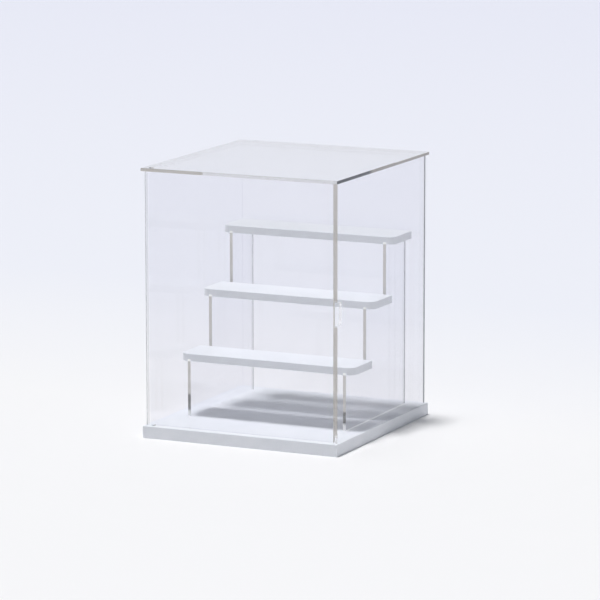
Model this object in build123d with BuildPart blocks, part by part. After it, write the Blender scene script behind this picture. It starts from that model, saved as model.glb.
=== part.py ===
from build123d import *
import os
from math import atan2, degrees, hypot

os.makedirs("parts", exist_ok=True)

# A clear display case on a white base board, with a pivoting front door and a
# three-tier riser inside. Millimetres, X across, Y from front to back, Z up.
# The origin is the middle of the base's underside and the door faces -Y.

# Case
case_width = 200.0          # base board and top sheet, across
case_depth = 210.0          # base board and top sheet, front to back
case_height = 255.0         # underside of the base to the top face
base_thickness = 11.5
sheet = 3.0                 # clear sheet of the walls, top, door and riser sides
side_inset = 2.0            # base edge to the outside of a side wall
back_inset = 4.0            # base back edge to the outside of the back wall
door_setback = 4.5          # base front edge to the front of the door
board_edge_radius = 0.6     # eased edges of the white boards
sheet_edge_chamfer = 0.25   # polished bevel on the open edges of the clear sheets

# Joints between fixed pieces
groove_depth = 2.0          # grooves that locate the clear sheets in the boards
groove_clearance = 0.1      # on each side of a sheet in its groove
glue_line = 0.05            # cement between two glued faces

# Front door and its two pivots
door_gap = 0.8              # door to the side walls, the base and the top sheet
ear_width = 3.0             # pivot ear along the door's width
ear_setback = 1.0           # hinge end of the door to the ear
pivot_clearance = 0.08      # corner of the ear to the wall of its round hole
pivot_hole_depth = 5.0      # blind hole in the base
ear_end_gap = 0.2           # ear's end to the bottom of its hole, and below the top face
door_stop_margin = 6.0      # degrees kept short of the side wall at full swing

# Finger notch in the right wall, open towards the front
notch_height = 22.0
notch_depth = 10.0
notch_radius = 4.0

# Riser
tiers = 3
riser_side_gap = 13.0       # side wall to the outside of a stepped side
riser_front_gap = 51.3      # back of the door to the front of the riser
riser_back_gap = 7.4        # back of the riser to the back wall
step_rise = 54.6            # base to the first step, and each step to the next
shelf_overhang = 8.0        # shelf end past the riser's side
shelf_gap = 2.6             # back of a shelf to the front of the next step
shelf_thickness = 7.2
shelf_front_radius = 8.0
shelf_back_radius = 2.0

# Places worked out from the sizes
front_edge = -case_depth / 2
wall_outside = case_width / 2 - side_inset
wall_inside = wall_outside - sheet
wall_front = front_edge + door_setback
wall_back = case_depth / 2 - back_inset
wall_length = wall_back - wall_front
wall_middle = (wall_front + wall_back) / 2
back_inside = wall_back - sheet

groove_floor = base_thickness - groove_depth
sheet_foot = groove_floor + glue_line
top_underside = case_height - sheet
wall_top = top_underside - glue_line
wall_height = wall_top - sheet_foot
opening_middle = (base_thickness + top_underside) / 2
groove_width = sheet + 2 * groove_clearance

door_end = wall_inside - door_gap
door_width = 2 * door_end
door_bottom = base_thickness + door_gap
door_top = top_underside - door_gap
pivot_x = -door_end + ear_setback + ear_width / 2
pivot_y = wall_front + sheet / 2
pivot_radius = hypot(ear_width / 2, sheet / 2) + pivot_clearance
ear_low_end = base_thickness - pivot_hole_depth + ear_end_gap
ear_high_end = case_height - ear_end_gap

riser_outside = wall_inside - riser_side_gap
riser_side_middle = riser_outside - sheet / 2
riser_front = wall_front + sheet + riser_front_gap
riser_depth = back_inside - riser_back_gap - riser_front
riser_middle = riser_front + riser_depth / 2
tier_depth = riser_depth / tiers
shelf_length = 2 * (riser_outside + shelf_overhang)
shelf_depth = tier_depth - shelf_gap


def step_top(tier):
    """Height of the top edge of one step of the riser's sides."""
    return base_thickness + (tier + 1) * step_rise


# Base board: eased top edges, grooves for every upright sheet, blind pivot hole
with BuildPart() as base_board:
    with BuildSketch(Plane.XY):
        Rectangle(case_width, case_depth)
    extrude(amount=base_thickness)
    fillet(base_board.edges().filter_by(Axis.Z), board_edge_radius)
    fillet(base_board.faces().sort_by(Axis.Z)[-1].edges(), board_edge_radius)
    with BuildSketch(Plane.XY.offset(base_thickness)):
        with GridLocations(wall_inside + wall_outside, 0, 2, 1):
            with Locations((0, wall_middle)):
                Rectangle(groove_width, wall_length + 2 * groove_clearance)
        with Locations((0, wall_back - sheet / 2)):
            Rectangle(2 * wall_inside, groove_width)
        with GridLocations(2 * riser_side_middle, 0, 2, 1):
            with Locations((0, riser_middle)):
                Rectangle(groove_width, riser_depth + 2 * groove_clearance)
    extrude(amount=-groove_depth, mode=Mode.SUBTRACT)
    with Locations((pivot_x, pivot_y, base_thickness)):
        Hole(pivot_radius, depth=pivot_hole_depth)
base_board.part.label = "base_board"
export_step(base_board.part, "parts/base_board.step")


# Top sheet: bevelled all round, with the through hole of the upper pivot
with BuildPart() as top_sheet:
    with BuildSketch(Plane.XY.offset(top_underside)):
        Rectangle(case_width, case_depth)
    extrude(amount=sheet)
    chamfer(top_sheet.edges(), sheet_edge_chamfer)
    with Locations((pivot_x, pivot_y, case_height)):
        Hole(pivot_radius)
top_sheet.part.label = "top_sheet"
export_step(top_sheet.part, "parts/top_sheet.step")


# Side walls: the door and the back wall both stand between them, so their front
# and back edges are open and bevelled
with BuildPart() as left_side_panel:
    with BuildSketch(Plane.YZ.offset(-wall_outside)):
        with Locations((wall_middle, (sheet_foot + wall_top) / 2)):
            Rectangle(wall_length, wall_height)
    extrude(amount=sheet)
    upright_edges = left_side_panel.edges().filter_by(Axis.Z)
    chamfer(upright_edges, sheet_edge_chamfer)
left_side_panel.part.label = "left_side_panel"
export_step(left_side_panel.part, "parts/left_side_panel.step")

# The right wall is the same sheet with the finger notch behind the door's free end
with BuildPart() as right_side_panel:
    with BuildSketch(Plane.YZ.offset(wall_inside)):
        with Locations((wall_middle, (sheet_foot + wall_top) / 2)):
            Rectangle(wall_length, wall_height)
        with Locations((wall_front, opening_middle)):
            RectangleRounded(2 * notch_depth, notch_height, notch_radius, mode=Mode.SUBTRACT)
    extrude(amount=sheet)
    upright_edges = right_side_panel.edges().filter_by(Axis.Z).group_by(Axis.Y)
    chamfer(upright_edges[0] + upright_edges[-1], sheet_edge_chamfer)
right_side_panel.part.label = "right_side_panel"
export_step(right_side_panel.part, "parts/right_side_panel.step")


# Back wall, cemented between the side walls
with BuildPart() as back_panel:
    with BuildSketch(Plane.XZ.offset(-wall_back)):
        with Locations((0, (sheet_foot + wall_top) / 2)):
            Rectangle(2 * (wall_inside - glue_line), wall_height)
    extrude(amount=sheet)
back_panel.part.label = "back_panel"
export_step(back_panel.part, "parts/back_panel.step")


# Front door: one sheet whose square ears turn in the round holes above and below
with BuildPart() as front_door:
    with BuildSketch(Plane.XZ.offset(-(wall_front + sheet))):
        with Locations((0, (door_bottom + door_top) / 2)):
            Rectangle(door_width, door_top - door_bottom)
        with Locations((pivot_x, (ear_low_end + ear_high_end) / 2)):
            Rectangle(ear_width, ear_high_end - ear_low_end)
    extrude(amount=sheet)
    upright_edges = front_door.edges().filter_by(Axis.Z).group_by(Axis.X)
    chamfer(upright_edges[0] + upright_edges[-1], sheet_edge_chamfer)
front_door.part.label = "front_door"
export_step(front_door.part, "parts/front_door.step")


# Riser sides: a stepped sheet each, one column of the profile for every tier
def riser_side(outside_x, label):
    with BuildPart() as side:
        with BuildSketch(Plane.YZ.offset(outside_x)):
            for tier in range(tiers):
                column_height = step_top(tier) - sheet_foot
                column_middle = riser_front + (tier + 0.5) * tier_depth
                with Locations((column_middle, sheet_foot + column_height / 2)):
                    Rectangle(tier_depth, column_height)
        extrude(amount=sheet)
    side.part.label = label
    export_step(side.part, "parts/" + label + ".step")
    return side.part


riser_left_side = riser_side(-riser_outside, "riser_left_side")
riser_right_side = riser_side(riser_outside - sheet, "riser_right_side")


# Shelves: white boards with round front corners. The steps seat in two grooves
# that run from the front edge to the back, so a leg's end shows in the front edge.
def riser_shelf(tier, label):
    underside = step_top(tier) + glue_line - groove_depth
    front = riser_front + tier * tier_depth
    with BuildPart() as shelf:
        with BuildSketch(Plane.XY.offset(underside)) as outline:
            with Locations((0, front + shelf_depth / 2)):
                Rectangle(shelf_length, shelf_depth)
            fillet(outline.vertices().group_by(Axis.Y)[0], shelf_front_radius)
            fillet(outline.vertices().group_by(Axis.Y)[-1], shelf_back_radius)
        extrude(amount=shelf_thickness)
        fillet(shelf.faces().sort_by(Axis.Z)[-1].edges(), board_edge_radius)
        with BuildSketch(Plane.XY.offset(underside)):
            with GridLocations(2 * riser_side_middle, 0, 2, 1):
                with Locations((0, front + shelf_depth / 2)):
                    Rectangle(groove_width, shelf_depth)
        extrude(amount=groove_depth, mode=Mode.SUBTRACT)
    shelf.part.label = label
    export_step(shelf.part, "parts/" + label + ".step")
    return shelf.part


lower_shelf = riser_shelf(0, "lower_shelf")
middle_shelf = riser_shelf(1, "middle_shelf")
upper_shelf = riser_shelf(2, "upper_shelf")


# Full swing: the door's outer face meets the front edge of the left wall
stop_angle = 2 * degrees(atan2(pivot_x + wall_inside, sheet / 2))
print("pivot at", round(pivot_x, 3), round(pivot_y, 3), "hole radius", round(pivot_radius, 3))
print("door meets the wall at", round(stop_angle, 1), "degrees, range 0 to",
      round(stop_angle - door_stop_margin))
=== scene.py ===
import math
from functools import partial

import bmesh
import bpy
import numpy as np
from mathutils import Matrix, Vector


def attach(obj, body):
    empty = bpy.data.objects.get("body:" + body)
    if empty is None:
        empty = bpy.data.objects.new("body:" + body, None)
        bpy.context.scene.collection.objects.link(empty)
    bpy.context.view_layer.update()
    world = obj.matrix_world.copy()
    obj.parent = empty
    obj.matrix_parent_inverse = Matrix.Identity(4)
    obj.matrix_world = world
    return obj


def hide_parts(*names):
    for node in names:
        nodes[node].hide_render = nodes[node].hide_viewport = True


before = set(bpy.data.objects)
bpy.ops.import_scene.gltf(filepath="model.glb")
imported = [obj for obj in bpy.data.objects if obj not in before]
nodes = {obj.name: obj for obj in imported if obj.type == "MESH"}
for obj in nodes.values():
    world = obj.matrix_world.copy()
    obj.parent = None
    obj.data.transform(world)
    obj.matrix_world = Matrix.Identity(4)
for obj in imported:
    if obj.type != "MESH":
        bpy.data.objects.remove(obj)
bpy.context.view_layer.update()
scene = bpy.context.scene
print("frame loaded with", len(nodes), "nodes")

# Camera, set where the photograph was taken from
camera = {
    "place": (1.5378, -3.2524, 0.7744),   # metres, in the case's own frame
    "azimuth": 25.112,                    # degrees round from the front, towards +X
    "elevation": 10.290,
    "roll": -0.068,
    "lens": 232.6,
    "sensor": 36.0,
    "bounces": 48,                        # enough for a line of sight through every sheet
}


def addCamera(c):
    azimuth, elevation, roll = (math.radians(c[k]) for k in ("azimuth", "elevation", "roll"))
    back = Vector((math.sin(azimuth) * math.cos(elevation),
                   -math.cos(azimuth) * math.cos(elevation),
                   math.sin(elevation)))
    right = (-back).cross(Vector((0, 0, 1))).normalized()
    up = back.cross(right)
    rolledRight = math.cos(roll) * right + math.sin(roll) * up
    rolledUp = -math.sin(roll) * right + math.cos(roll) * up
    data = bpy.data.cameras.new("camera")
    data.lens = c["lens"]
    data.sensor_width = c["sensor"]
    data.clip_end = 50
    cameraObject = bpy.data.objects.new("camera", data)
    turn = Matrix((rolledRight, rolledUp, back)).transposed().to_4x4()
    cameraObject.matrix_world = Matrix.Translation(c["place"]) @ turn
    scene.collection.objects.link(cameraObject)
    scene.camera = cameraObject


addCamera(camera)
scene.view_settings.view_transform = "Standard"
scene.cycles.max_bounces = camera["bounces"]
scene.cycles.glossy_bounces = camera["bounces"]
scene.cycles.transmission_bounces = camera["bounces"]
scene.cycles.transparent_max_bounces = camera["bounces"]
print("camera set")


def toLinear(hexColour):
    # linear red, green, blue and alpha of an sRGB hex value
    parts = [int(hexColour[i:i + 2], 16) / 255 for i in (1, 3, 5)]
    return [p / 12.92 if p <= 0.04045 else ((p + 0.055) / 1.055) ** 2.4 for p in parts] + [1.0]


def addNode(tree, kind, inputs=(), stops=(), **settings):
    # inputs: values, sockets or nodes, which stand for their first output, in order or by name;
    # stops: (position, hex colour) pairs of a colour ramp; settings: the node's properties
    node = tree.nodes.new("ShaderNode" + kind)
    for name, value in settings.items():
        setattr(node, name, value)
    for key, value in inputs.items() if isinstance(inputs, dict) else enumerate(inputs):
        source = value.outputs[0] if isinstance(value, bpy.types.Node) else value
        if isinstance(source, bpy.types.NodeSocket):
            tree.links.new(source, node.inputs[key])
        else:
            node.inputs[key].default_value = source
    if stops:
        elements = node.color_ramp.elements
        while len(elements) < len(stops):
            elements.new(0.5)
        for element, (position, colour) in zip(elements, stops):
            element.position = position
            element.color = toLinear(colour)
    return node


def newMaterial(name):
    # an empty material, and addNode tied to its tree
    material = bpy.data.materials.new(name)
    material.use_nodes = True
    material.node_tree.nodes.clear()
    return material, partial(addNode, material.node_tree)


def dress(nodeNames, material):
    for nodeName in nodeNames:
        mesh = nodes[nodeName].data
        mesh.materials.clear()
        mesh.materials.append(material)


# Cast acrylic sheet: polished faces that only show as a faint grey tone and a thin gloss,
# and laser-cut edges whose solid grey line is painted light, standing in for the light they gather
acrylic = {
    "faceTint": "#fcfcfd",       # what one face lets through
    "gloss": 0.04,               # mirror part seen square on, for an index of 1.49
    "index": 1.49,
    "faceRoughness": 0.015,
    "hairRoughness": 0.03,       # what a hairline adds
    "waveSize": 0.045,           # metres, the slow waviness of a cast sheet
    "scratchSize": 0.0011,       # hairlines from wiping, drawn coarser than the real 0.1 mm
    "cutPitch": 0.0006,          # striations left by the laser, drawn coarser than 0.15 mm
    "edgeRoughness": 0.22,
    "shadowTint": "#fdfdfd",     # light that a lamp loses in one face
    "sideGrowth": 0.3,           # gloss gained towards a grazing view by the sheets seen edge on
}


def outward(add, normal):
    # the way a face points, out of its sheet also where it is seen from inside
    inside = add("NewGeometry").outputs["Backfacing"]
    sign = add("Math", (inside, -2.0, 1.0), operation="MULTIPLY_ADD")
    way = add("VectorMath", {0: normal, "Scale": sign}, operation="SCALE")
    return add("SeparateXYZ", (way,)).outputs


def clearAcrylic(name, edgeAxes="", tone=None, cover=None, glow=None, growth=1.0, a=acrylic):
    # edgeAxes: the ways in which this sheet's visible cut edges face; tone, cover and glow:
    # functions that return an edge's painted colour, how solid it looks from 0 to 1, and its
    # painted glow, an emission; growth: how much the gloss gains towards a grazing view
    material, add = newMaterial(name)
    place = add("TexCoord").outputs
    point = add("SeparateXYZ", (place["Object"],)).outputs
    facing = outward(add, place["Normal"])

    # Faces: see-through, with the gloss growing towards a grazing view
    grazing = add("LayerWeight", {"Blend": 0.5}).outputs["Facing"]
    fifth = add("Math", (grazing, 5.0), operation="POWER")
    gloss = add("Math", (fifth, growth * (1 - a["gloss"]), a["gloss"]), operation="MULTIPLY_ADD")
    waves = add("TexNoise", {"Vector": place["Object"], "Scale": 1 / a["waveSize"], "Detail": 1.0})
    wiped = add("Mapping", {
        "Vector": place["Object"], "Rotation": (0.5, 0.3, 0.6), "Scale": (1.0, 0.06, 0.06)})
    hairs = add("TexNoise", {"Vector": wiped, "Scale": 1 / a["scratchSize"], "Detail": 2.0})
    rough = add("Math", (hairs, a["hairRoughness"], a["faceRoughness"]), operation="MULTIPLY_ADD")
    bend = add("Bump", {"Height": waves, "Strength": 0.01, "Distance": 0.001})
    mirror = add("BsdfGlossy", {"Color": (1, 1, 1, 1), "Roughness": rough, "Normal": bend})
    through = add("BsdfTransparent", {"Color": toLinear(a["faceTint"])})
    seen = add("MixShader", (gloss, through, mirror))

    # Cut edges: fine striations across the sheet's thickness
    if edgeAxes:
        along = add("Mapping", {"Vector": place["Object"], "Scale": (0.15, 0.15, 1.0)})
        stria = add("TexNoise", {"Vector": along, "Scale": 1 / a["cutPitch"], "Detail": 2.0})
        ridges = add("Bump", {"Height": stria, "Strength": 0.25, "Distance": 0.0002})
        shade = add("Math", (stria, 0.10, 0.95), operation="MULTIPLY_ADD")
        # painted light and shade: the edge's colour, and its emission is a painted glow
        shaded = add("VectorMath", {0: tone(add, point, facing), "Scale": shade}, operation="SCALE")
        edge = add("BsdfPrincipled", {
            "Base Color": shaded, "Roughness": a["edgeRoughness"], "IOR": a["index"], "Normal": ridges,
            "Emission Color": (1, 1, 1, 1), "Emission Strength": glow(add, point, facing) if glow else 0.0})
        solidEdge = add("MixShader", (cover(add, point, facing), seen, edge))
        turned = [add("Math", (facing[axis],), operation="ABSOLUTE") for axis in edgeAxes]
        strongest = add("Math", (turned[0], turned[-1]), operation="MAXIMUM")
        onEdge = add("Math", (strongest, 0.5), operation="GREATER_THAN")
        seen = add("MixShader", (onEdge, seen, solidEdge))

    # Lamps and soft light pass straight through the sheet
    path = add("LightPath").outputs
    lighting = add("Math", (path["Is Shadow Ray"], path["Is Diffuse Ray"]), operation="MAXIMUM")
    lit = add("BsdfTransparent", {"Color": toLinear(a["shadowTint"])})
    add("OutputMaterial", {"Surface": add("MixShader", (lighting, seen, lit))})
    return material


def plainTone(colour):
    return lambda add, point, facing: add("CombineXYZ", toLinear(colour)[:3])


# Upright cut edges: their tones go by height, painted light at the foot as a reflection of the lit
# base board and painted shade in the next stretch, where the shaded base shows through
upright = {
    "foot": 0.0115,              # metres, the top of the base board
    "head": 0.2515,
    "rearTone": "#8f9096",
    "rearCover": 0.10,           # of a rear edge beside its line
    "footShare": 0.45,           # of the front edge's cover that its clear foot keeps
}


def paintedHeightTone(stops, u=upright):
    # stops: (millimetres above the base board, painted hex colour) pairs of an edge that faces the front
    reach = 1000 * (u["head"] - u["foot"])
    placed = [(height / reach, colour) for height, colour in stops]

    def tone(add, point, facing):
        height = add("MapRange", {"Value": point["Z"], "From Min": u["foot"], "From Max": u["head"]})
        front = add("ValToRGB", (height,), stops=placed)
        isRear = add("Math", (facing["Y"], 0.5), operation="GREATER_THAN")
        return add("Mix", {0: isRear, 6: front, 7: toLinear(u["rearTone"])}, data_type="RGBA").outputs[2]
    return tone


def heightCover(piece, u=upright):
    # a front edge looks more solid than the rear edge of the same sheet: up to clearFoot it lets
    # the lit base show through, and the rear edge only shows as a line beyond lineFrom
    def cover(add, point, facing):
        isRear = add("Math", (facing["Y"], 0.5), operation="GREATER_THAN")
        isFoot = add("Math", (point["Z"], piece["clearFoot"]), operation="LESS_THAN")
        front = add("Math", (isFoot, (u["footShare"] - 1) * piece["cover"], piece["cover"]),
                    operation="MULTIPLY_ADD")
        onLine = add("Math", (point["X"], piece["lineFrom"]), operation="GREATER_THAN")
        rear = add("Math", (onLine, piece["lineCover"] - u["rearCover"], u["rearCover"]),
                   operation="MULTIPLY_ADD")
        return add("Mix", {0: isRear, 2: front, 3: rear}, data_type="FLOAT")
    return cover


def paintedHeightGlow(piece):
    # painted glow: emission on the front edge between pairs of heights in metres, which stands in
    # for light gathered by the sheet
    def glow(add, point, facing):
        total = 0.0
        for low, high in piece["glowing"]:
            inside = add("Math", (point["Z"], (low + high) / 2, (high - low) / 2), operation="COMPARE")
            total = add("Math", (inside, total), operation="ADD")
        isFront = add("Math", (facing["Y"], -0.5), operation="LESS_THAN")
        shown = add("Math", (total, isFront), operation="MULTIPLY")
        return add("Math", (shown, piece["glow"]), operation="MULTIPLY")
    return glow


# Right wall: its front edge is a solid line, broken by the finger notch, whose inner edges
# stay clearer; its foot is painted light, a reflection of the lit base board, and the notch
# stretch is painted lighter and given a painted glow as a highlight
rightWall = {
    "tones": ((0, "#f8f6f3"), (6, "#f8f6f3"), (8, "#d3cdc7"), (108, "#d3cdc7"), (108.5, "#f6f4f2"),
              (132, "#f6f4f2"), (132.5, "#d3cdc7")),
    "cover": 0.85,
    "clearFoot": 0.018,
    "lineFrom": 0.0965,
    "lineCover": 0.85,
    "notchMiddle": 0.13175,
    "notchReach": 0.0113,
    "notchShare": 0.35,          # of the front edge's cover that the notch keeps
    # painted highlight: an emission along the notch
    "glowing": ((0.1205, 0.1430),),
    "glow": 0.3,
}


def notchedCover(add, point, facing, w=rightWall):
    plain = heightCover(w)(add, point, facing)
    inNotch = add("Math", (point["Z"], w["notchMiddle"], w["notchReach"]), operation="COMPARE")
    share = add("Math", (inNotch, w["notchShare"] - 1, 1.0), operation="MULTIPLY_ADD")
    isRear = add("Math", (facing["Y"], 0.5), operation="GREATER_THAN")
    kept = add("Math", (share, isRear), operation="MAXIMUM")
    return add("Math", (plain, kept), operation="MULTIPLY")


dress(("right_side_panel",), clearAcrylic(
    "castAcrylicRightWall", "Y", paintedHeightTone(rightWall["tones"]), notchedCover,
    paintedHeightGlow(rightWall), acrylic["sideGrowth"]))

# Left wall: the outer corner of its front edge shows as a thin line, the rest hardly
leftWall = {"tone": "#a3a1a4", "lineTo": -0.0972, "lineCover": 0.60, "cover": 0.16}


def leftWallCover(add, point, facing, w=leftWall):
    isFront = add("Math", (facing["Y"], -0.5), operation="LESS_THAN")
    onLine = add("Math", (point["X"], w["lineTo"]), operation="LESS_THAN")
    cover = add("Math", (onLine, w["lineCover"] - w["cover"], w["cover"]), operation="MULTIPLY_ADD")
    return add("Math", (isFront, cover), operation="MULTIPLY")


dress(("left_side_panel",), clearAcrylic(
    "castAcrylicLeftWall", "Y", plainTone(leftWall["tone"]), leftWallCover,
    growth=acrylic["sideGrowth"]))

# Back wall: its ends are cemented to the side walls and stay clear
dress(("back_panel",), clearAcrylic("castAcrylicBack"))

# Front door: its free end is a solid line and its hinge end stays clear
door = {"tone": "#d8d2cc", "cover": 0.85}


def doorCover(add, point, facing, d=door):
    isFree = add("Math", (facing["X"], 0.5), operation="GREATER_THAN")
    return add("Math", (isFree, d["cover"]), operation="MULTIPLY")


dress(("front_door",), clearAcrylic("castAcrylicDoor", "X", plainTone(door["tone"]), doorCover))

# Top sheet: the side edge is painted dark near the front corner as painted shade, the front edge
# is solid only near the door's pivot, and the bevels draw a thin line with a painted white
# highlight towards the back
topSheet = {
    "halfDepth": 0.105,
    # painted shade: the side edge's dark tones near the front corner
    "sideTones": ((0.0, "#3c3e47"), (0.33, "#484a54"), (0.38, "#a5a09c"), (1.0, "#b4aeaa")),
    "frontTone": "#d6d0ca",
    "bevelTone": "#9c9a99",
    "farBevelHighlight": "#fdfdfd",
    "farBevelFrom": 0.62,        # share of the depth
    "solidTo": -0.036,           # metres, where the front edge stops being solid
    "solidCover": 0.90,
    "frontCover": 0.35,
    "sideCover": 0.95,
    "bevelCover": 0.75,
    "rearCover": 0.28,
}


def topTone(add, point, facing, t=topSheet):
    along = add("MapRange", {"Value": point["Y"], "From Min": -t["halfDepth"], "From Max": t["halfDepth"]})
    side = add("ValToRGB", (along,), stops=t["sideTones"])
    isSide = add("Math", (facing["X"], 0.5), operation="GREATER_THAN")
    isNotSide = add("Math", (facing["X"], 0.5), operation="LESS_THAN")
    isBevel = add("Math", (facing["Z"], 0.5), operation="GREATER_THAN")
    isFar = add("Math", (along, t["farBevelFrom"]), operation="GREATER_THAN")
    farSide = add("Math", (isSide, isFar), operation="MULTIPLY")
    # painted highlight: the far part of the side bevels
    bright = add("Math", (isBevel, farSide), operation="MULTIPLY")
    lined = add("Math", (isBevel, isNotSide), operation="MULTIPLY")
    cut = add("Mix", {0: isSide, 6: toLinear(t["frontTone"]), 7: side}, data_type="RGBA")
    grey = add("Mix", {0: lined, 6: cut.outputs[2], 7: toLinear(t["bevelTone"])}, data_type="RGBA")
    topped = add("Mix", {0: bright, 6: grey.outputs[2], 7: toLinear(t["farBevelHighlight"])}, data_type="RGBA")
    return topped.outputs[2]


def topCover(add, point, facing, t=topSheet):
    isSide = add("Math", (facing["X"], 0.5), operation="GREATER_THAN")
    isFront = add("Math", (facing["Y"], -0.5), operation="LESS_THAN")
    isBevel = add("Math", (facing["Z"], 0.5), operation="GREATER_THAN")
    nearPivot = add("Math", (point["X"], t["solidTo"]), operation="LESS_THAN")
    solid = add("Math", (nearPivot, t["solidCover"] - t["frontCover"], t["frontCover"]),
                operation="MULTIPLY_ADD")
    front = add("Math", (isFront, solid), operation="MULTIPLY")
    side = add("Math", (isSide, t["sideCover"]), operation="MULTIPLY")
    bevel = add("Math", (isBevel, t["bevelCover"]), operation="MULTIPLY")
    cut = add("Math", (side, front), operation="MAXIMUM")
    strongest = add("Math", (cut, bevel), operation="MAXIMUM")
    towardsUs = add("Math", (isSide, isFront), operation="MAXIMUM")
    shown = add("Math", (towardsUs, strongest), operation="MULTIPLY")
    return add("Math", (shown, t["rearCover"]), operation="MAXIMUM")


dress(("top_sheet",), clearAcrylic("castAcrylicTop", "XY", topTone, topCover))

# Riser sides: grey legs with a painted light foot, a reflection of the lit base board, under a
# painted dark stretch, the shaded base seen through the sheet; where their ends seat in the
# shelves they get a painted white highlight and a painted glow
riser = {
    "stepRise": 54.6,            # millimetres, base board to the first step and so on
    "seatDepth": 2.0,
    "legTone": "#dbd5cf",
    "paintedFootLight": "#f8f5f2",
    "paintedSeatHighlight": "#ffffff",
}
seatHeights = [riser["stepRise"] * (tier + 1) - riser["seatDepth"] for tier in range(3)]
seatHighlightStops = [(height + past, riser[name]) for height in seatHeights
             for past, name in ((-0.3, "legTone"), (0.0, "paintedSeatHighlight"), (2.1, "paintedSeatHighlight"), (2.4, "legTone"))]
paintedSeatGlints = [(upright["foot"] + (height + 0.1) / 1000, upright["foot"] + (height + 1.9) / 1000)
              for height in seatHeights]
rightLeg = {
    # painted light at the foot, painted shade above it, then painted seat highlights
    "tones": [(0, riser["paintedFootLight"]), (6, riser["paintedFootLight"]), (7.5, "#5c5a59"), (12, "#7b7977"),
              (17, "#6b6968"), (18.5, riser["legTone"])] + seatHighlightStops,
    "cover": 0.92,
    "clearFoot": 0.018,
    "lineFrom": 0.0808,
    "lineCover": 0.75,
    # painted glow at the seats, and on the right leg also at its foot
    "glowing": paintedSeatGlints + [(0.0115, 0.0175)],
    "glow": 0.35,
}
leftLeg = {
    "tones": [(0, riser["paintedFootLight"]), (4.5, riser["paintedFootLight"]), (6, "#73716f"), (20, "#7d7a78"),
              (22, riser["legTone"])] + seatHighlightStops,
    "cover": 0.92,
    "clearFoot": 0.0165,
    "lineFrom": -0.0802,
    "lineCover": 0.5,
    "glowing": paintedSeatGlints,
    "glow": 0.35,
}
for nodeName, materialName, leg in (("riser_right_side", "castAcrylicRiserRight", rightLeg),
                                    ("riser_left_side", "castAcrylicRiserLeft", leftLeg)):
    dress((nodeName,), clearAcrylic(
        materialName, "Y", paintedHeightTone(leg["tones"]), heightCover(leg), paintedHeightGlow(leg),
        acrylic["sideGrowth"]))
print("clear sheets dressed")

# White boards: satin rigid plastic sheet with sawn edges, whose faint speckle and slow
# tone changes keep it from looking like paper
board = {
    "colour": "#f1f2f7",
    "speckle": "#eaecf2",
    "speckleSize": 0.0009,       # metres, drawn coarser than the real 0.2 mm grain
    "mottleSize": 0.030,
    "sawPitch": 0.0008,          # saw marks on the edges, drawn coarser than 0.2 mm
    "roughness": 0.32,
    "wear": 0.12,                # what the mottle adds to the roughness
    "sawRoughness": 0.55,
    "index": 1.5,
    "upperShade": 0.93,          # painted shade: tone of the upper shelf's flat faces, which stand nearest the top sheet
}


def whiteBoard(name, faceShade=1.0, b=board):
    material, add = newMaterial(name)
    place = add("TexCoord").outputs
    facing = add("SeparateXYZ", (place["Normal"],)).outputs
    speckle = add("TexNoise", {"Vector": place["Object"], "Scale": 1 / b["speckleSize"], "Detail": 3.0})
    mottle = add("TexNoise", {"Vector": place["Object"], "Scale": 1 / b["mottleSize"], "Detail": 2.0})
    halfMottle = add("Math", (mottle, 0.5), operation="MULTIPLY")
    both = add("Math", (speckle, 0.5, halfMottle), operation="MULTIPLY_ADD")
    white = add("ValToRGB", (both,), stops=((0.3, b["speckle"]), (0.6, b["colour"])))
    along = add("Mapping", {"Vector": place["Object"], "Scale": (1.0, 1.0, 0.12)})
    sawn = add("TexNoise", {"Vector": along, "Scale": 1 / b["sawPitch"], "Detail": 2.0})
    upOrDown = add("Math", (facing["Z"],), operation="ABSOLUTE")
    isFlat = add("Math", (upOrDown, 0.8), operation="GREATER_THAN")
    # painted shade: faceShade darkens the flat faces only
    shade = add("Math", (isFlat, faceShade - 1.0, 1.0), operation="MULTIPLY_ADD")
    colour = add("VectorMath", {0: white, "Scale": shade}, operation="SCALE")
    height = add("Mix", {0: isFlat, 2: sawn, 3: speckle}, data_type="FLOAT")
    relief = add("Bump", {"Height": height, "Strength": 0.12, "Distance": 0.0001})
    worn = add("Math", (mottle, b["wear"], b["roughness"]), operation="MULTIPLY_ADD")
    rough = add("Mix", {0: isFlat, 2: b["sawRoughness"], 3: worn}, data_type="FLOAT")
    satin = add("BsdfPrincipled", {
        "Base Color": colour, "Roughness": rough, "IOR": b["index"], "Normal": relief})
    add("OutputMaterial", {"Surface": satin})
    return material


dress(("lower_shelf", "middle_shelf"), whiteBoard("satinWhiteShelf"))
dress(("upper_shelf",), whiteBoard("satinWhiteUpperShelfShaded", board["upperShade"]))
print("shelves dressed")


def ringQuads(rings, count, first=0):
    # quads between neighbouring closed rings of count points each, numbered from first
    ring, i = np.meshgrid(np.arange(rings - 1), np.arange(count), indexing="ij")
    near = first + ring * count
    k = (i + 1) % count
    return np.stack([near + i, near + k, near + count + k, near + count + i], -1).reshape(-1, 4).tolist()


def addPiece(name, points, faces, material):
    # a piece fixed to the case; any opening left in its mesh is filled flat
    mesh = bpy.data.meshes.new(name)
    mesh.from_pydata(points.tolist(), [], faces)
    build = bmesh.new()
    build.from_mesh(mesh)
    border = [edge for edge in build.edges if edge.is_boundary]
    if border:
        bmesh.ops.triangle_fill(build, use_beauty=True, edges=border)
    bmesh.ops.recalc_face_normals(build, faces=build.faces)
    build.to_mesh(mesh)
    build.free()
    piece = bpy.data.objects.new(name, mesh)
    scene.collection.objects.link(piece)
    mesh.materials.append(material)
    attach(piece, "case")
    return piece


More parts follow.
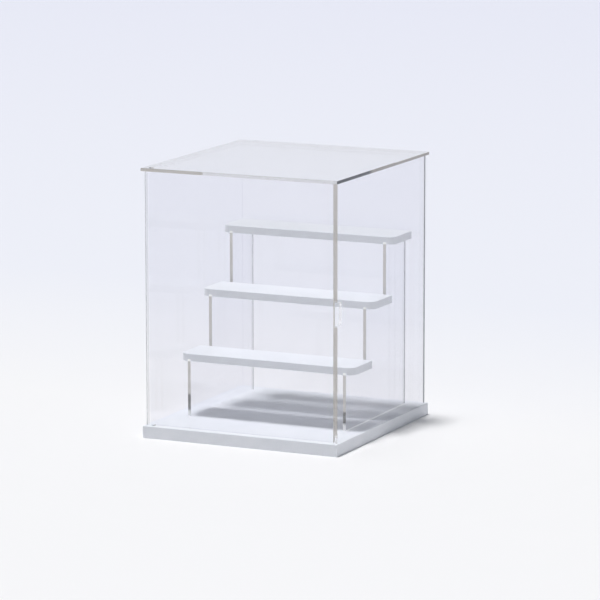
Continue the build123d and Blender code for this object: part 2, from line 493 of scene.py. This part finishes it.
# Base board: the sheets stand in it without a gap, as they are cemented in, and its only
# opening is the blind hole of the door's pivot
baseBoard = {
    "half": (0.100, 0.105),
    "height": 0.0115,
    "cornerRadius": 0.0006,
    "edgeRadius": 0.0006,
    "edgeReach": 0.98,           # share of the radius that the last ring moves in
    "arcSteps": 6,
    "pivot": (-0.0917, -0.0990),
    "pivotRadius": 0.0022,
    "pivotDepth": 0.005,
    "pivotSteps": 32,
}


def boardRing(half, radius, steps):
    # a rectangle whose corners are quarter circles: corner centre plus radius times (cos, sin)
    quarter = np.linspace(0, np.pi / 2, steps + 1)
    angle = (quarter[None, :] + np.arange(4)[:, None] * np.pi / 2).ravel()
    signX = np.repeat([1, -1, -1, 1], steps + 1)
    signY = np.repeat([1, 1, -1, -1], steps + 1)
    return np.stack([signX * (half[0] - radius) + radius * np.cos(angle),
                     signY * (half[1] - radius) + radius * np.sin(angle)], axis=1)


def addBaseBoard(b):
    # rings from the underside up; on the eased edge a ring moves in by r (1 - cos t) as it
    # rises by r sin t, and its corner radius shrinks by as much; the pivot hole is a circle
    # carried down from the top face
    turn = np.linspace(0, np.pi / 2, b["arcSteps"] + 1)
    inset = np.append(0.0, b["edgeRadius"] * (1 - np.cos(turn)) * b["edgeReach"])
    height = np.append(0.0, b["height"] - b["edgeRadius"] * (1 - np.sin(turn)))
    count = 4 * (b["arcSteps"] + 1)
    rings = [np.column_stack([boardRing([h - i for h in b["half"]], b["cornerRadius"] - i, b["arcSteps"]),
                              np.full(count, z)]) for i, z in zip(inset, height)]
    around = np.linspace(0, 2 * np.pi, b["pivotSteps"], endpoint=False)
    hole = np.stack([np.cos(around), np.sin(around)], axis=1) * b["pivotRadius"] + b["pivot"]
    rims = [np.column_stack([hole, np.full(b["pivotSteps"], z)])
            for z in (b["height"], b["height"] - b["pivotDepth"])]
    sides = count * len(rings)
    points = np.vstack(rings + rims)
    underside = list(range(count))[::-1]
    holeFloor = list(range(sides + b["pivotSteps"], len(points)))
    faces = ringQuads(len(rings), count) + ringQuads(2, b["pivotSteps"], sides) + [underside, holeFloor]
    piece = addPiece("base_board_satin", points, faces, whiteBoard("satinWhiteBase"))
    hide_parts("base_board")


addBaseBoard(baseBoard)
print("base board ready")

# Cement bead: dried solvent cement along the foot of the riser's right side, glossy and
# slightly cloudy, whose emission paints a thin bright line as a highlight
bead = {
    "radius": 0.0005,
    "outside": 0.0820,           # outer face of the riser's right side
    "run": (-0.0462, 0.0906),
    "steps": (6, 60),
    "colour": "#fbfbfd",
    "cloud": "#eeeff2",
    "cloudSize": 0.004,
    "glow": 0.28,                # painted glow, an emission standing in for light that the sheet leads down into the bead
    "roughness": 0.12,
}


def cementWithPaintedGlow(name, b=bead):
    material, add = newMaterial(name)
    ripple = add("TexNoise", {"Vector": add("TexCoord").outputs["Object"], "Scale": 1 / b["cloudSize"]})
    colour = add("ValToRGB", (ripple,), stops=((0.35, b["cloud"]), (0.65, b["colour"])))
    relief = add("Bump", {"Height": ripple, "Strength": 0.3, "Distance": 0.0002})
    cement = add("BsdfPrincipled", {
        "Base Color": colour, "Roughness": b["roughness"], "IOR": acrylic["index"], "Normal": relief,
        "Emission Color": (1, 1, 1, 1), "Emission Strength": b["glow"]})
    add("OutputMaterial", {"Surface": cement})
    return material


def addBead(b):
    # a concave fillet: x and z are the radius times (1 - sin t) and (1 - cos t), with t from 0
    # to a quarter turn, carried along y, with its two flat backs and two ends closing it
    turn = np.linspace(0, np.pi / 2, b["steps"][0] + 1)
    acrossX = b["outside"] + np.append(b["radius"] * (1 - np.sin(turn)), 0.0)
    acrossZ = baseBoard["height"] + np.append(b["radius"] * (1 - np.cos(turn)), 0.0)
    along = np.linspace(*b["run"], b["steps"][1] + 1)
    count, rings = len(acrossX), len(along)
    points = np.stack([np.tile(acrossX, rings), np.repeat(along, count), np.tile(acrossZ, rings)], axis=1)
    ends = [list(range(count)), list(range((rings - 1) * count, rings * count))]
    addPiece("riser_right_bead", points, ringQuads(rings, count) + ends,
             cementWithPaintedGlow("solventCementPaintedGlow"))


addBead(bead)
print("cement bead ready")

# Floor, lamp and world
studio = {
    "floorSize": 12.0,
    # painted falloff of light: the floor is painted darker and bluer further behind the case
    "floorTones": ((0.0, "#f2f0f0"), (0.18, "#e9e9ef"), (1.0, "#e3e3ed")),
    "farAway": (0.05, 3.5),       # metres behind the middle between which the floor's tone changes
    "keyFrom": (-0.18, -0.025, 1.0),
    "keyPower": 2.87,
    "keyColour": (0.98, 0.99, 1.0),
    "keyAngle": 0.24,
    "skyColour": (0.86, 0.93, 1.0, 1.0),
    "skyPower": 0.17,             # overhead
    "hazePower": 0.60,            # near the horizon, which lights the upright faces
    "backColour": (0.92, 0.94, 1.0, 1.0),
    "backPower": 0.87,
}


def addFloor(s):
    half = s["floorSize"] / 2
    mesh = bpy.data.meshes.new("floor")
    mesh.from_pydata([(-half, -half, 0), (half, -half, 0), (half, half, 0), (-half, half, 0)], [],
                     [(0, 1, 2, 3)])
    floor = bpy.data.objects.new("floor", mesh)
    scene.collection.objects.link(floor)
    material, add = newMaterial("floorPaper")
    point = add("SeparateXYZ", (add("TexCoord").outputs["Object"],)).outputs
    away = add("MapRange", {"Value": point["Y"], "From Min": s["farAway"][0], "From Max": s["farAway"][1]})
    tone = add("ValToRGB", (away,), stops=s["floorTones"])
    paper = add("BsdfPrincipled", {"Base Color": tone, "Roughness": 0.9, "Specular IOR Level": 0.2})
    add("OutputMaterial", {"Surface": paper})
    mesh.materials.append(material)


def addKey(s):
    data = bpy.data.lights.new("key", "SUN")
    data.energy = s["keyPower"]
    data.color = s["keyColour"]
    data.angle = s["keyAngle"]
    key = bpy.data.objects.new("key", data)
    key.matrix_world = (-Vector(s["keyFrom"])).to_track_quat("-Z", "Y").to_matrix().to_4x4()
    scene.collection.objects.link(key)


def addWorld(s):
    # a dim sky with a brighter haze near the horizon, and a bright backdrop low behind the
    # case that only lines of sight and reflections meet
    world = bpy.data.worlds.new("studio")
    scene.world = world
    world.use_nodes = True
    world.node_tree.nodes.clear()
    add = partial(addNode, world.node_tree)
    way = add("SeparateXYZ", (add("TexCoord").outputs["Generated"],)).outputs
    behind = add("MapRange", {"Value": way["Y"], "From Min": -0.1, "From Max": 0.6},
                 interpolation_type="SMOOTHSTEP")
    low = add("MapRange", {"Value": way["Z"], "From Min": 0.75, "From Max": 0.25},
              interpolation_type="SMOOTHSTEP")
    haze = add("MapRange", {"Value": way["Z"], "From Min": 0.12, "From Max": 0.40,
                            "To Min": s["hazePower"], "To Max": s["skyPower"]},
               interpolation_type="SMOOTHSTEP")
    sky = add("Background", {"Color": s["skyColour"], "Strength": haze})
    back = add("Background", {"Color": s["backColour"], "Strength": s["backPower"]})
    backdrop = add("Math", (behind, low), operation="MULTIPLY")
    isSight = add("Math", (1.0, add("LightPath").outputs["Is Diffuse Ray"]), operation="SUBTRACT")
    seen = add("Math", (backdrop, isSight), operation="MULTIPLY")
    add("OutputWorld", {"Surface": add("MixShader", (seen, sky, back))})


addFloor(studio)
addKey(studio)
addWorld(studio)
print("studio ready")
